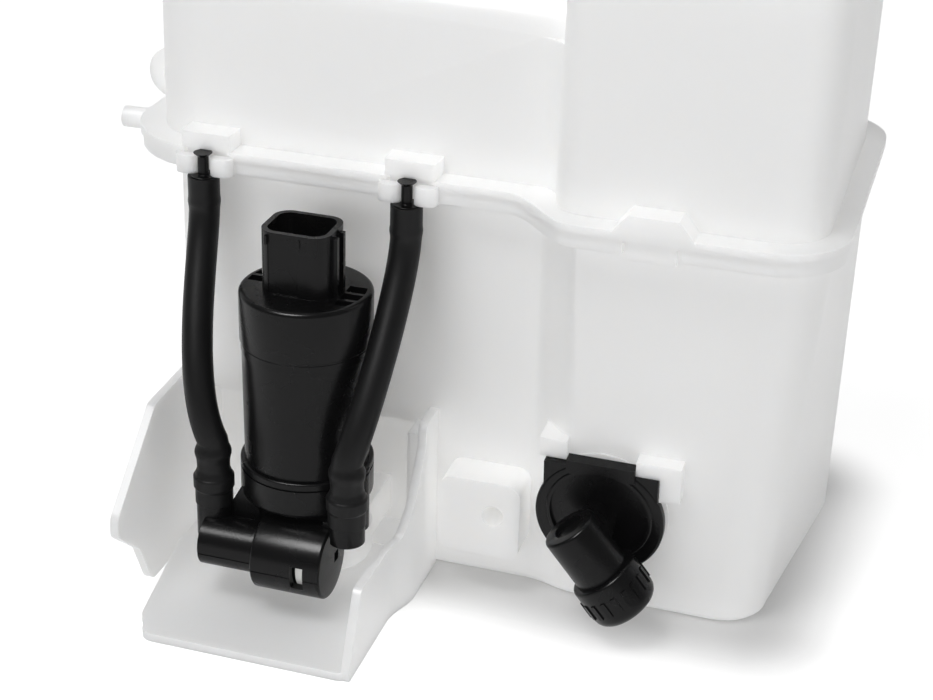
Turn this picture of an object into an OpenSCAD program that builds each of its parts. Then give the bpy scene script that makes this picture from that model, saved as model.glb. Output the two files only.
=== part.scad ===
// Washer fluid reservoir: a tank welded from two moulded shells, with a twin-outlet pump in a guarded
// pocket, two hoses held by clips on the seam flange, and a level sensor in the front wall.
// The origin is in the middle of the tank's foot, on the surface that it stands on.

/* [Tank] */
// Length of the lower shell between its side walls
tank_len = 197; // [192:1:206]
// Depth of the tank behind its left front wall
tank_depth = 88; // [84:1:100]
// Wall thickness of both shells
wall = 2.6; // [2.2:0.1:3]
// Radius of the upright corners on the left
left_corner_r = 20; // [16:1:22]
// Radius of the upright corners on the right
right_corner_r = 14; // [12:1:18]
// Radius of the bottom edge
base_r = 3; // [2:0.5:6]
// How far the right half stands in front of the left half at the seam
step_out = 16.5; // [14:0.5:18]
// Distance of the step between the two halves from the right wall
step_back = 75.5; // [73:0.5:78]
// How far the right half's front wall is drawn in at the foot
front_draw = 13.5; // [11:0.5:15]
// How far the right wall is drawn in at its front foot
side_draw = 9; // [6:0.5:12]
// Height of the weld seam
seam_z = 125.3; // [123:0.1:130]
// Height of the left half
left_top = 182; // [176:1:188]
// Height of the right half
right_top = 204; // [198:1:206]
// Radius of the top edges
top_r = 12; // [8:1:16]

/* [Seam flange] */
// Width of the flange outside the upper shell's walls
flange_w = 7.7; // [6:0.1:9]
// Thickness of the lower shell's flange
flange_low = 3.8; // [3:0.1:4.5]
// Thickness of the upper shell's flange
flange_up = 2.7; // [2:0.1:3.5]
// Height of the clip blocks above the flange
clip_h = 5; // [4:0.5:8]
// Width of a clip block
clip_w = 15; // [12:0.5:17]

/* [Filler] */
// Outside diameter of the filler neck
neck_d = 46; // [40:1:50]
// Height of the filler neck
neck_h = 15; // [13:1:20]

/* [Fixing] */
// Diameter of the fixing holes
fix_hole_d = 6.5; // [5:0.1:7]
// How far the front lug stands out of the wall
lug_reach = 12; // [9:0.5:14]
// Diameter of the locating peg on the left edge of the flange
peg_d = 6.6; // [5:0.1:6.6]
// Length of the locating peg
peg_len = 11; // [8:0.5:14]

/* [Pump] */
// Diameter of the pump's cap
pump_d = 38; // [37:0.5:40]
// Distance of the pump's axis in front of the left front wall
pump_reach = 22; // [21:0.5:24]
// Height of the motor housing between its base ring and its cap
housing_h = 37.5; // [37:0.5:44]
// Height of the cap's skirt
cap_h = 14.3; // [12:0.1:18]
// Height of the connector socket above the cap
socket_h = 19.7; // [17:0.1:24]
// Length of the connector socket
socket_len = 20.5; // [19:0.5:22]
// Width of the connector socket
socket_w = 17.5; // [16:0.5:18.5]
// Diameter of the motor shaft
shaft_d = 3.2; // [2.4:0.1:4]
// Diameter of the impeller
impeller_d = 25; // [20:0.5:26]
// Diameter of the valve cover
cover_d = 22; // [20.5:0.1:22]
// Diameter of the valve body beside the cover
valve_d = 15; // [14:0.1:16]
// Travel of the valve shuttle to each side
shuttle_travel = 1; // [0.5:0.1:1.2]

/* [Hoses] */
// Outside diameter of the hoses
hose_d = 9; // [8:0.1:10]
// Wall thickness of the hoses
hose_wall = 1.9; // [1.5:0.1:2.2]

/* [Level sensor] */
// Diameter of the sensor's flange
sensor_d = 38; // [34:0.5:39]
// Diameter of the sensor's connector barrel
elbow_d = 16.4; // [15:0.1:17]
// Diameter of the ribbed end cap
end_cap_d = 20.2; // [18.5:0.1:21]
// Length of the float arm from its pivot to the middle of the float
float_arm_len = 26; // [22:1:32]

/* [Hidden] */
$fn = 48;

// Colours of the materials
milky = [0.93, 0.93, 0.91];
black = [0.09, 0.09, 0.1];
rubber = [0.05, 0.05, 0.05];
steel = [0.7, 0.7, 0.72];
copper = [0.75, 0.42, 0.2];
brass = [0.8, 0.68, 0.35];

// A cut runs this far past the face that it opens
over = 1;
// Free gap between pieces that move past each other
free = 0.4;
// Running fit of a pin in its bore, on the radius
run = 0.05;
// Small gap where one piece is pushed into another
snug = 0.05;

// Planes of the tank's walls
x0 = -tank_len / 2;
x1 = tank_len / 2;
y0 = -tank_depth / 2;
y1 = tank_depth / 2;
yr = y0 - step_out;
step_x = x1 - step_back;
// The left half ends inside the right half
lap_x = step_x + 22;
// Draft of the left front wall and corner radius of the step
draft = 0.4;
step_r = 9;
// The upper shell overhangs the lower one on the left and is set in on the right
upper_x0 = x0 - 4.5;
upper_x1 = x1 - 2;
// The flange is narrower on the right
right_trim = 1.8;
flange_z0 = seam_z - flange_low;
flange_z1 = seam_z + flange_up;
flange_x0 = upper_x0 - flange_w;
flange_x1 = upper_x1 + flange_w - right_trim;
flange_y = y0 - flange_w;
flange_yr = yr - flange_w;

// Point on a circle's arc, for outlines
function arc(c, r, a0, a1, n = 5) =
    [for (i = [0:n]) let (a = a0 + (a1 - a0) * i / n) [c[0] + r * cos(a), c[1] + r * sin(a)]];

function unit(v) = v / norm(v);

// Outline of a turned bar from the axis side to x1, with rounded lower and upper outer edges
function turned(xa, xb, ya, yb, r_low, r_high) = concat(
    [[xa, ya]],
    arc([xb - r_low, ya + r_low], r_low, -90, 0),
    arc([xb - r_high, yb - r_high], r_high, 0, 90),
    [[xa, yb]]);

// Rectangle with rounded corners
module rounded(xa, xb, ya, yb, r) {
    translate([xa + r, ya]) square([xb - xa - 2 * r, yb - ya]);
    translate([xa, ya + r]) square([xb - xa, yb - ya - 2 * r]);
    for (x = [xa + r, xb - r], y = [ya + r, yb - r])
        translate([x, y]) circle(r);
}

// Upright rounded block
module block(xa, xb, ya, yb, za, zb, r) {
    translate([0, 0, za]) linear_extrude(zb - za) rounded(xa, xb, ya, yb, r);
}

module box(xa, xb, ya, yb, za, zb) {
    translate([xa, ya, za]) cube([xb - xa, yb - ya, zb - za]);
}

// Hollow cylinder
module tube(r, r_in, h) {
    difference() {
        cylinder(r = r, h = h);
        translate([0, 0, -over]) cylinder(r = r_in, h = h + 2 * over);
    }
}

// Plate across the tank, drawn in a plane of Y and Z
module side_plate(x, t, points) {
    translate([x, 0, 0]) rotate([90, 0, 90]) linear_extrude(t) polygon(points);
}

// Faces between rings of m points that follow each other, seen from outside or from inside
function skin(n, m, base, out) =
    [for (i = [0:n - 2], k = [0:m - 1])
        let (a = base + i * m + k, b = base + i * m + (k + 1) % m)
        each out ? [[a, b, b + m], [a, b + m, a + m]] : [[a + m, b + m, b], [a + m, b, a]]];

// Closed solid drawn upwards over rings of equal length, with a fan of faces over each end
function middle(ring) = [for (p = ring) 1] * ring / len(ring);
module loft(rings) {
    n = len(rings);
    m = len(rings[0]);
    last = (n - 1) * m;
    polyhedron(concat([for (r = rings) each r], [middle(rings[0]), middle(rings[n - 1])]), concat(
        [for (k = [0:m - 1]) [n * m, k, (k + 1) % m]],
        skin(n, m, 0, false),
        [for (k = [0:m - 1]) [n * m + 1, last + (k + 1) % m, last + k]]));
}

// Corner of a ring that is drawn in by e: sx and sy say on which sides of the corner the tank lies
corner_steps = 8;
function corner(x, y, sx, sy, r, e, a0) =
    let (k = max(r - e, 0.8))
    arc([x + sx * (e + k), y + sy * (e + k)], k, a0, a0 + 90, corner_steps);

// Front wall between the halves: a smooth step of depth s round mid, w wide, drawn in by e along its normal
wall_step_mid = step_x + 2;
wall_step_w = 15;
step_steps = 9;
function step_line(mid, w, y, s, e) =
    [for (i = [0:step_steps])
        let (t = i / step_steps, m = -s * 6 * t * (1 - t) / w)
        [mid + w * (t - 0.5), y - s * ease(t)] + e * [-m, 1] / norm([m, 1])];

// Ring round the lower shell at height z, drawn in by e
function lower_ring(z, e) =
    let (low = 1 - z / seam_z,
         front = y0 + draft * low,
         step = step_out + (draft - front_draw) * low,
         side = x1 - side_draw * low)
    [for (p = concat(
        corner(x0, front, 1, 1, left_corner_r, e, 180),
        step_line(wall_step_mid, wall_step_w, front, step, e),
        corner(side, front - step, -1, 1, right_corner_r, e, 270),
        corner(x1, y1, -1, -1, right_corner_r, e, 0),
        corner(x0, y1, 1, -1, left_corner_r, e, 90))) [p[0], p[1], z]];

// Rings up the drawn-in walls
wall_rings = 4;
// Lower shell's outside, or its inside when it is drawn in by the wall
module lower_body(t, top) {
    loft(concat(
        [for (a = [0:30:90]) lower_ring(t + base_r * (1 - cos(a)), t + base_r * (1 - sin(a)))],
        [for (i = [1:wall_rings]) lower_ring(t + base_r + (top - t - base_r) * i / wall_rings, t)]));
}

// Ring round one half of the upper shell
function half_ring(z, e, xa, xb, ya, ra, rb) =
    [for (p = concat(
        corner(xa, ya, 1, 1, ra, e, 180),
        corner(xb, ya, -1, 1, rb, e, 270),
        corner(xb, y1, -1, -1, rb, e, 0),
        corner(xa, y1, 1, -1, ra, e, 90))) [p[0], p[1], z]];

// Half of the upper shell, from the seam to a rounded top
module upper_half(t, bottom, top, r, xa, xb, ya, ra, rb) {
    loft(concat(
        [half_ring(bottom, t, xa, xb, ya, ra, rb)],
        [for (a = [0:22.5:90])
            half_ring(top - t - r * (1 - sin(a)), t + r * (1 - cos(a)), xa, xb, ya + draft, ra, rb)]));
}

// The right half is taller, with a larger shoulder
shoulder_r = 1.5 * top_r;
module upper_left(t, bottom) {
    upper_half(t, bottom, left_top, top_r, upper_x0, lap_x + t, y0, left_corner_r, step_r);
}

module upper_right(t, bottom) {
    upper_half(t, bottom, right_top, shoulder_r, step_x, upper_x1, yr, step_r, right_corner_r);
}

// Hollow fillet between the front of the left half and the side of the right half
module step_fillet(bottom) {
    r = step_out / 2;
    translate([step_x - r, y0 + draft - r, bottom]) linear_extrude(left_top - top_r - bottom) difference() {
        square([r + 2, r + 2]);
        circle(r);
    }
}

// Outline of the seam flange, which follows the step in a wider sweep
flange_step_mid = step_x - 3;
flange_step_w = 22;
// The lower flange is this much narrower than the upper one
flange_inset = 0.7;
module flange_plan(e) {
    back = y1 + flange_w;
    left_r = left_corner_r + flange_w;
    right_r = right_corner_r + flange_w - 2;
    polygon(concat(
        corner(flange_x0, flange_y, 1, 1, left_r, e, 180),
        step_line(flange_step_mid, flange_step_w, flange_y, step_out, e),
        corner(flange_x1, flange_yr, -1, 1, right_r, e, 270),
        corner(flange_x1, back, -1, -1, right_r, e, 0),
        corner(flange_x0, back, 1, -1, left_r, e, 90)));
}

// Places of the three clips on the flange and of the pump's axis
clip_left_x = x0 + 18.5;
clip_right_x = x0 + 79.5;
clip_third_x = x1 - 45.5;
pump_x = x0 + 54.5;
pump_y = y0 - pump_reach;
module at_pump() {
    translate([pump_x, pump_y, 0]) children();
}

// Pump pocket in the lower shell and the guard in front of it
pocket_x0 = pump_x - 44;
pocket_x1 = pump_x + 30.4;
pocket_top = 48;
pocket_floor = wall + 0.5;
pocket_depth = 16;
guard_front = y0 - 67;
left_plate_x = pocket_x0 - wall;
front_plate_x = pocket_x1 - 3.4;
plate_top = 57;
// The guard stands this little above the foot
guard_z = 0.2;
// Hollow rib beside the guard's right wall
rib_gap = 4;
rib_t = 1.6;
rib_reach = 9;
rib_top = plate_top - 8;

// Sump cup under the pump, joined to the tank by a duct
sump_x = 5;
sump_y = 7.5;
sump_r = 12;
sump_z0 = 6;
sump_z1 = 19;
duct_w = 16;
module sump_solid() {
    translate([sump_x, sump_y, 0]) {
        rotate_extrude() polygon(turned(0, sump_r, sump_z0, sump_z1, 4.5, 0.6));
        box(-duct_w / 2, duct_w / 2, 0, pump_reach + pocket_depth + wall / 2 - sump_y,
            sump_z0 + over, sump_z1);
    }
}

grommet_hole_r = 7.5;
module sump_hollow() {
    duct_in = duct_w / 2 - wall;
    translate([sump_x, sump_y, 0]) {
        translate([0, 0, sump_z0 + wall]) cylinder(r = sump_r - wall, h = sump_z1 - sump_z0 - 2 * wall);
        box(-duct_in, duct_in, 0, pump_reach + pocket_depth + wall + over - sump_y,
            sump_z0 + over + wall, sump_z1 - wall);
        translate([0, 0, sump_z1 - wall - over]) cylinder(r = grommet_hole_r, h = wall + 2 * over);
    }
}

// Outline with its corners rounded by r
function soften(p, r) = [for (i = [0:len(p) - 1])
    let (m = len(p), a = unit(p[(i + m - 1) % m] - p[i]), b = unit(p[(i + 1) % m] - p[i]),
         half = acos(a * b) / 2,
         near = min(r / tan(half), norm(p[(i + m - 1) % m] - p[i]) / 2.2, norm(p[(i + 1) % m] - p[i]) / 2.2))
    each [for (t = [0:soft_steps]) let (u = t / soft_steps)
        p[i] + pow(1 - u, 2) * near * a + pow(u, 2) * near * b]];
soft_steps = 4;

// Band of the wall's thickness along a line in plan, for the guard's bent right wall
function band(line, t) = concat(line, [for (i = [len(line) - 1:-1:0]) line[i] + [t, 0]]);
function ease(u) = u * u * (3 - 2 * u);
jog_y = y0 - 20;
jog_len = 14;
jog_steps = 8;
function jog(u) = [pocket_x1 + (front_plate_x - pocket_x1) * ease(u), jog_y - jog_len * u];

// Left plate, bent right wall, rib and floor of the guard, as one moulding with the lower shell
module guard() translate([0, 0, guard_z]) {
    side_plate(left_plate_x, wall, soften(
        [[y0 + over, 0], [y0 + over, plate_top], [y0 - 30.5, plate_top - 1], [y0 - 57, plate_top - 25],
         [y0 - 57.5, plate_top - 31], [y0 - 44.5, 15], [y0 - 37.5, 0]], 4));
    intersection() {
        linear_extrude(plate_top) polygon(band(concat(
            [[pocket_x1, y0 + over]],
            [for (i = [0:jog_steps]) jog(i / jog_steps)],
            [[front_plate_x, guard_front + 0.5]]), wall));
        side_plate(front_plate_x - over, 10, soften(
            [[y0 + 2 * over, -over], [y0 + 2 * over, plate_top - 3],
             [y0 - 11.5, plate_top - 3], [y0 - 12, 46], [y0 - 27, 24], [y0 - 57, 24.5],
             [guard_front + 0.5, wall], [guard_front + 0.5, -over]], 3));
    }
    difference() {
        box(pocket_x1 - rib_gap, pocket_x1 + over, y0 - rib_reach, y0 + over, 0, rib_top);
        box(pocket_x1 - rib_gap + rib_t, pocket_x1, y0 - rib_reach + rib_t, y0 + 2 * over,
            wall, rib_top - rib_t);
    }
    linear_extrude(wall) polygon(concat(
        [[front_plate_x + wall, jog_y - jog_len],
         [pocket_x1 + wall / 2, jog_y], [pocket_x1 + wall / 2, y0 + 8], [left_plate_x + wall / 2, y0 + 8],
         [left_plate_x + wall / 2, y0 - 12], [left_plate_x + 3, y0 - 22], [left_plate_x + 9, y0 - 58]],
        arc([left_plate_x + 16, guard_front + 4], 4, 180, 270, 4),
        arc([front_plate_x + wall - 4, guard_front + 4], 4, 270, 360, 4)));
}

// Saddle behind the motor housing
saddle_gap = 0.1;
module pump_saddle() {
    difference() {
        box(-9, 9, pump_reach - 8, pump_reach + over, 56, 72);
        translate([0, 0, 50]) cylinder(r = housing_r1 + saddle_gap, h = 30);
    }
}

// Fixing lug on the front wall
lug_x0 = step_x - 29.5;
lug_x1 = step_x - 4.8;
lug_z0 = 14;
lug_z1 = 39;
lug_hole_x = step_x - 13;
lug_hole_z = 28;
module front_lug() {
    translate([0, y0 + draft + over, 0]) rotate([90, 0, 0])
        linear_extrude(lug_reach + draft + over) rounded(lug_x0, lug_x1, lug_z0, lug_z1, 4);
}

// Two rounded lips under a clip, with the slot that takes the hose plug's neck
slot_w = 3.8;
lip_w = 6.6;
lip_reach = 3.4;
module clip_lips(x) {
    for (s = [-1, 1]) {
        c = x + s * (slot_w + lip_w) / 2;
        block(c - lip_w / 2, c + lip_w / 2, flange_y - lip_reach, flange_y + 2, flange_z0, seam_z + 1.5, 2.4);
    }
}
lip_top = seam_z + 1.5;

// Hooks that hold the sensor's plate on the wall, in the sensor's own frame
hook_t = 4.4;
module sensor_hooks() {
    plate = sensor_plate_w / 2 + free;
    box(plate, plate + 6, 9.6, sensor_plate_h + 5, -2, hook_t);
    box(plate - 7, plate + 6, sensor_plate_h + free, sensor_plate_h + 5, -2, hook_t);
    box(-plate - 1.5, -plate + 6.5, sensor_plate_h + free, sensor_plate_h + 6.5, -10, hook_t / 2);
}

// Sensor's frame: on a pad on the drawn-in front wall, with its third axis out of the wall
sensor_x = x1 - 57;
sensor_z = 34;
pad_h = 0.5;
pad_r = 19.6;
front_angle = atan(front_draw / seam_z);
sensor_wall_y = yr + front_draw * (1 - sensor_z / seam_z);
module at_sensor() {
    translate([sensor_x, sensor_wall_y, sensor_z]) rotate([90 + front_angle, 0, 0])
        translate([0, 0, pad_h]) children();
}

module sensor_pad() {
    translate([0, 0, -8]) cylinder(r = pad_r, h = 8);
}

sensor_hole_r = 9;
// Place of the locating peg on the left edge, and the shoulder at its root
peg_y = -18;
peg_z = seam_z - peg_d / 2 - 0.1;
peg_shoulder = 0.8;
// Walls of the lower shell with all that stands on them, before holes are cut
module lower_walls() {
    difference() {
        union() {
            lower_body(0, seam_z - 1);
            translate([0, 0, flange_z0]) linear_extrude(flange_low) flange_plan(flange_inset);
            guard();
            front_lug();
            at_pump() pump_saddle();
            at_sensor() sensor_pad();
            at_sensor() sensor_hooks();
            difference() {
                for (x = [clip_left_x, clip_right_x])
                    clip_lips(x);
                box(flange_x0, flange_x1, flange_y - 0.01, y1, seam_z, lip_top + over);
            }
            translate([flange_x0, peg_y, peg_z]) rotate([0, -90, 0]) {
                translate([0, 0, -2 * over]) cylinder(d = peg_d, h = peg_len + 2 * over);
                translate([0, 0, 0.1]) cylinder(d = peg_d + 3.4, h = peg_shoulder - 0.1);
            }
        }
        difference() {
            lower_body(wall, seam_z + over);
            box(x0, pocket_x1 + wall, y0 - over, y0 + pocket_depth + wall, -over, pocket_top + wall);
        }
        box(pocket_x0, pocket_x1, y0 - over, y0 + pocket_depth, pocket_floor, pocket_top);
    }
    at_pump() sump_solid();
}

module lower_shell() {
    color(milky) difference() {
        lower_walls();
        at_pump() sump_hollow();
        for (x = [clip_left_x, clip_right_x])
            box(x - slot_w / 2, x + slot_w / 2, flange_y - 6, flange_y + 2.4,
                flange_z0 - over, lip_top + over);
        box(clip_third_x - clip_w / 2 - 0.5, clip_third_x + clip_w / 2 + 0.5,
            flange_yr - over, flange_yr + 3.8, flange_z0 - over, seam_z + over);
        translate([lug_hole_x, y0 - lug_reach + 10, lug_hole_z]) rotate([90, 0, 0])
            cylinder(d = fix_hole_d, h = 20);
        at_sensor() translate([0, 0, -20]) cylinder(r = sensor_hole_r, h = 30);
    }
}

// Third clip: a wedge on the flange over a tab
wedge_foot = 23;
module clip_wedge() {
    translate([clip_third_x, flange_yr + flange_w + over, 0]) rotate([90, 0, 0])
        linear_extrude(flange_w + over + 0.3) polygon(
            [[-wedge_foot / 2, seam_z + 2], [wedge_foot / 2, seam_z + 2],
             [clip_w / 2 + 0.6, flange_z1 + clip_h - 1.4], [clip_w / 2 - 0.8, flange_z1 + clip_h],
             [0.8 - clip_w / 2, flange_z1 + clip_h], [-clip_w / 2 - 0.6, flange_z1 + clip_h - 1.4]]);
}

// Clip block on the upper flange
module clip_block(x, front) {
    block(x - clip_w / 2, x + clip_w / 2, front - 0.3, front + flange_w + over,
        seam_z + 2, flange_z1 + clip_h, 1.2);
}

// Ear on the left side of the upper shell
ear_x = upper_x0 - 7;
ear_z = flange_z1 + 6;
ear_y = -8;
ear_t = 5;
ear_r = 8;
module side_ear() {
    translate([0, ear_y + ear_t, 0]) rotate([90, 0, 0]) linear_extrude(ear_t) {
        translate([ear_x, ear_z]) circle(ear_r);
        translate([ear_x, ear_z - ear_r]) square([10, 2 * ear_r]);
    }
}

neck_x = x1 - 40.5;
neck_y = 2;
neck_r = neck_d / 2;
module upper_shell() {
    color(milky) difference() {
        union() {
            upper_left(0, seam_z + 1);
            upper_right(0, seam_z + 1.2);
            step_fillet(seam_z + 0.8);
            translate([0, 0, seam_z]) linear_extrude(flange_up) flange_plan(0);
            clip_block(clip_left_x, flange_y);
            clip_block(clip_right_x, flange_y);
            clip_wedge();
            box(clip_third_x - clip_w / 2 + 1, clip_third_x + clip_w / 2 - 1,
                flange_yr + 1.2, flange_yr + 3.4, flange_z0 - 1.5, seam_z + over);
            side_ear();
            translate([neck_x, neck_y, right_top - 4]) cylinder(r = neck_r, h = neck_h + 4);
        }
        upper_left(wall, seam_z - over);
        upper_right(wall, seam_z - over);
        translate([neck_x, neck_y, right_top - 8]) cylinder(r = neck_r - wall, h = neck_h + 8 + over);
        translate([ear_x, ear_y + ear_t + over, ear_z]) rotate([90, 0, 0])
            cylinder(d = fix_hole_d, h = ear_t + 2 * over);
        for (x = [clip_left_x, clip_right_x])
            box(x - clip_w / 2 + 1, x + clip_w / 2 - 1, flange_y - over, flange_y + 2.4,
                seam_z - over, lip_top + 1.4);
    }
}

// Collar snapped round the filler neck, with the ears of the cap's hinge
collar_w = 3;
collar_z = right_top + 3;
collar_h = 5;
hinge_y = neck_r + collar_w + 5;
hinge_z = right_top + neck_h + 1;
hinge_pin_r = 1.8;
hinge_half = 7;
module at_neck() {
    translate([neck_x, neck_y, 0]) children();
}

module filler_collar() {
    color(black) at_neck() difference() {
        union() {
            translate([0, 0, collar_z]) tube(neck_r + collar_w, neck_r + snug, collar_h);
            for (s = [-1, 1])
                translate([s * (hinge_half + 1.5) - 1.5, 0, 0]) rotate([90, 0, 90]) linear_extrude(3) {
                    translate([hinge_y, hinge_z]) circle(3.6);
                    translate([hinge_y - 3.6, collar_z]) square([7.2, hinge_z - collar_z]);
                    translate([neck_r + 1.2, collar_z]) square([6, collar_h]);
                }
        }
        translate([-20, hinge_y, hinge_z]) rotate([0, 90, 0]) cylinder(r = hinge_pin_r + run, h = 40);
        translate([0, 0, collar_z - over]) cylinder(r = neck_r + snug, h = 40);
    }
}

// Push-on cap with its pivot moulded on, and the sealing disc inside it
cap_t = 2.4;
cap_gap = 0.8;
cap_skirt = 3;
module filler_cap() {
    top = right_top + neck_h + cap_seal_t;
    color(black) at_neck() {
        difference() {
            translate([0, 0, top - cap_skirt])
                rotate_extrude() polygon(turned(0, neck_r + cap_gap + cap_t, 0, cap_skirt + cap_t, 0.5, 1.6));
            translate([0, 0, top - cap_skirt - over]) cylinder(r = neck_r + cap_gap, h = cap_skirt + over);
        }
        difference() {
            union() {
                box(-hinge_half + 0.4, hinge_half - 0.4, neck_r + cap_gap + cap_t - 0.8, hinge_y,
                    hinge_z - 1.6, hinge_z + 2.6);
                translate([-hinge_half + 0.4, hinge_y, hinge_z]) rotate([0, 90, 0])
                    cylinder(r = 3.2, h = 2 * hinge_half - 0.8);
                translate([-hinge_half - 3, hinge_y, hinge_z]) rotate([0, 90, 0])
                    cylinder(r = hinge_pin_r, h = 2 * hinge_half + 6);
            }
            cylinder(r = neck_r + cap_gap, h = 2 * right_top);
        }
        for (a = [0:15:359])
            if (abs(a - 90) > 25)
                rotate([0, 0, a]) translate([neck_r + cap_gap + cap_t - 0.3, -0.8, top - cap_skirt + 1])
                    cube([0.9, 1.6, cap_skirt]);
    }
}

cap_seal_t = 2;
module cap_seal() {
    color(rubber) at_neck() translate([0, 0, right_top + neck_h + free])
        cylinder(r = neck_r - 0.4, h = cap_seal_t - free);
}

// Levels of the pump above the foot, and its radii
base_z = 20.6;
ring_z = 33;
house_z = 44.5;
cap_z = house_z + housing_h;
cap_top = cap_z + cap_h;
cap_r = pump_d / 2;
ring_r = cap_r + 0.4;
housing_r0 = cap_r - 0.9;
housing_r1 = cap_r - 0.5;
shell_r = cap_r - 2.8;
chamber_r = impeller_d / 2 + 1.8;
chamber_z0 = 30.8;
chamber_z1 = 38;
bulk_z = 41.5;

// Valve in front of the pump, lying along X
valve_y = -17;
valve_z = 20;
valve_r = valve_d / 2;
cover_r = cover_d / 2;
cover_x0 = -7.2;
cover_x1 = 14.1;
valve_x0 = -24.8;
valve_bore_r = 5;
cover_bore_r = cover_r - 2.4;
spigot_x = cover_x0 + 3;
stem_r = 3;
module along_valve(x) {
    translate([x, valve_y, valve_z]) rotate([0, 90, 0]) children();
}

// Outlets, each with a stem, a spigot and two barbs in its hose
outlet_left = [-24, -13, 30.5];
outlet_right = [18.8, -17.5, 34];
outlet_r = 5.2;
barb_h = [7, 15.5];
barb_out = [0.7, 0.4];
stretch = 0.4;
bore_r = hose_d / 2 - hose_wall;
spigot_r = bore_r + stretch - snug;
spigot_h = 20;
module outlet(p, z0) {
    translate([p[0], p[1], z0]) cylinder(r = outlet_r, h = p[2] - z0);
    translate([p[0], p[1], p[2]]) {
        translate([0, 0, -over]) cylinder(r = spigot_r, h = barb_h[1] + over);
        translate([0, 0, barb_h[1] - over]) cylinder(r = spigot_r - stretch, h = spigot_h - barb_h[1] + over);
        for (i = [0, 1])
            translate([0, 0, barb_h[i] - 1.2])
                cylinder(r1 = spigot_r + 0.6 * barb_out[i], r2 = spigot_r - 0.2, h = 3);
    }
}

// Foot of the right outlet's stem, beside the valve cover, and the lobe on the chamber that feeds it
right_stem_z = 28.6;
lobe = [14.5, -2, 24];
module pump_base() {
    color(black) at_pump() difference() {
        union() {
            rotate_extrude() polygon(turned(0, shell_r - 1, base_z, ring_z + over, 2, 0.1));
            rotate_extrude() polygon(turned(0, ring_r, ring_z, house_z, 1.5, 0.6));
            translate(lobe) cylinder(r = outlet_r, h = house_z - over - lobe[2]);
            box(lobe[0] - 3, lobe[0] + 5, outlet_right[1], lobe[1], right_stem_z, outlet_right[2] - over);
            outlet(outlet_left, valve_z);
            outlet(outlet_right, right_stem_z);
            along_valve(valve_x0) cylinder(r = valve_r, h = cover_x0 - valve_x0);
            along_valve(cover_x0 - over) cylinder(r = cover_bore_r - snug, h = spigot_x - cover_x0 + over);
            box(valve_x0 + 6, cover_x0, valve_y, -6, valve_z - 5, valve_z + 6);
            translate([0, -9, 0]) rotate([90, 0, 0]) linear_extrude(3)
                polygon([[-22.5, 24], [-9.5, 24], [-11.5, 36], [-16, 36]]);
            translate([sump_x, sump_y, sump_z1 - 8]) cylinder(r = 5, h = base_z - sump_z1 + 9);
        }
        along_valve(cover_x0) tube(cover_r + snug, cover_bore_r - snug, cover_x1 - cover_x0 + over);
        along_valve(spigot_x) cylinder(r = cover_r + snug, h = cover_x1 - spigot_x + over);
        along_valve(cover_x0 - 1.2) tube(valve_r + over, valve_r - 0.7, 1.2 + snug);
        along_valve(valve_x0 + 2) cylinder(r = valve_bore_r, h = cover_x0 - valve_x0 - 2);
        along_valve(cover_x0 - over) cylinder(r = stem_r + run, h = 5);
        box(valve_x0 - over, cover_x0, valve_y - valve_r - over, valve_y - valve_r + 0.35,
            valve_z - 1.4, valve_z - 1);
        translate([0, 0, chamber_z0]) cylinder(r = chamber_r, h = chamber_z1 - chamber_z0);
        translate([0, 0, chamber_z1 - over]) cylinder(r = seal_r + snug, h = bulk_z - chamber_z1 + 2 * over);
        translate([0, 0, bulk_z]) cylinder(r = shell_r, h = house_z - bulk_z + over);
        translate([sump_x, sump_y, 0]) cylinder(r = 3.4, h = chamber_z0 + over);
        for (p = [outlet_left, outlet_right])
            translate([p[0], p[1], p[2] - 4]) cylinder(r = 1.7, h = spigot_h + 8);
        difference() {
            translate([0, 0, house_z - 2.6]) cylinder(r = ring_r + over, h = 0.6);
            translate([0, 0, house_z - 4]) cylinder(r = ring_r - 0.45, h = 4);
        }
    }
}

// Grommet between the pump's inlet and the sump, and the strainer below it
grommet_lip = 1.5;
module inlet_grommet() {
    color(rubber) at_pump() translate([sump_x, sump_y, 0]) difference() {
        union() {
            translate([0, 0, sump_z1 - wall - grommet_lip]) cylinder(r = grommet_hole_r + 1, h = grommet_lip);
            translate([0, 0, sump_z1 - wall - 0.1]) cylinder(r = grommet_hole_r - snug, h = wall + 0.2);
            translate([0, 0, sump_z1]) cylinder(r = grommet_hole_r + 2, h = base_z - sump_z1);
        }
        translate([0, 0, sump_z0]) cylinder(r = 5 + snug, h = 20);
    }
}

strainer_len = 20;
module inlet_strainer() {
    duct_y = pump_reach + pocket_depth + wall - sump_y;
    r = (sump_z1 - sump_z0 - over - 2 * wall) / 2 - 0.1;
    mid = (sump_z0 + over + sump_z1) / 2;
    color(milky) at_pump() translate([sump_x, sump_y + duct_y - 6, mid]) rotate([-90, 0, 0]) difference() {
        union() {
            cylinder(r = r, h = strainer_len);
            translate([0, 0, 6]) cylinder(r = r + 1.6, h = 1.6);
        }
        translate([0, 0, -over]) cylinder(r = r - 1, h = strainer_len);
        for (a = [0:45:359], z = [10, 13.4, 16.8])
            rotate([0, 0, a]) translate([0, -0.8, z]) cube([r + over, 1.6, 2]);
    }
}

// Rotor: shaft, laminated core, windings, commutator and impeller
shaft_r = shaft_d / 2;
shaft_z0 = 31.8;
can_z0 = 42;
can_z1 = cap_z - 3;
can_r = shell_r - 0.3;
can_t = 1;
magnet_t = 2.5;
core_r = can_r - can_t - magnet_t - 0.8;
core_z0 = 50;
core_z1 = can_z1 - 13;
slots = 5;
slot_at = core_r * 0.66;
slot_r = core_r * 0.23;
module motor_shaft() {
    color(steel) at_pump() translate([0, 0, shaft_z0]) cylinder(r = shaft_r, h = can_z1 + 4 - shaft_z0);
}

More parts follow.
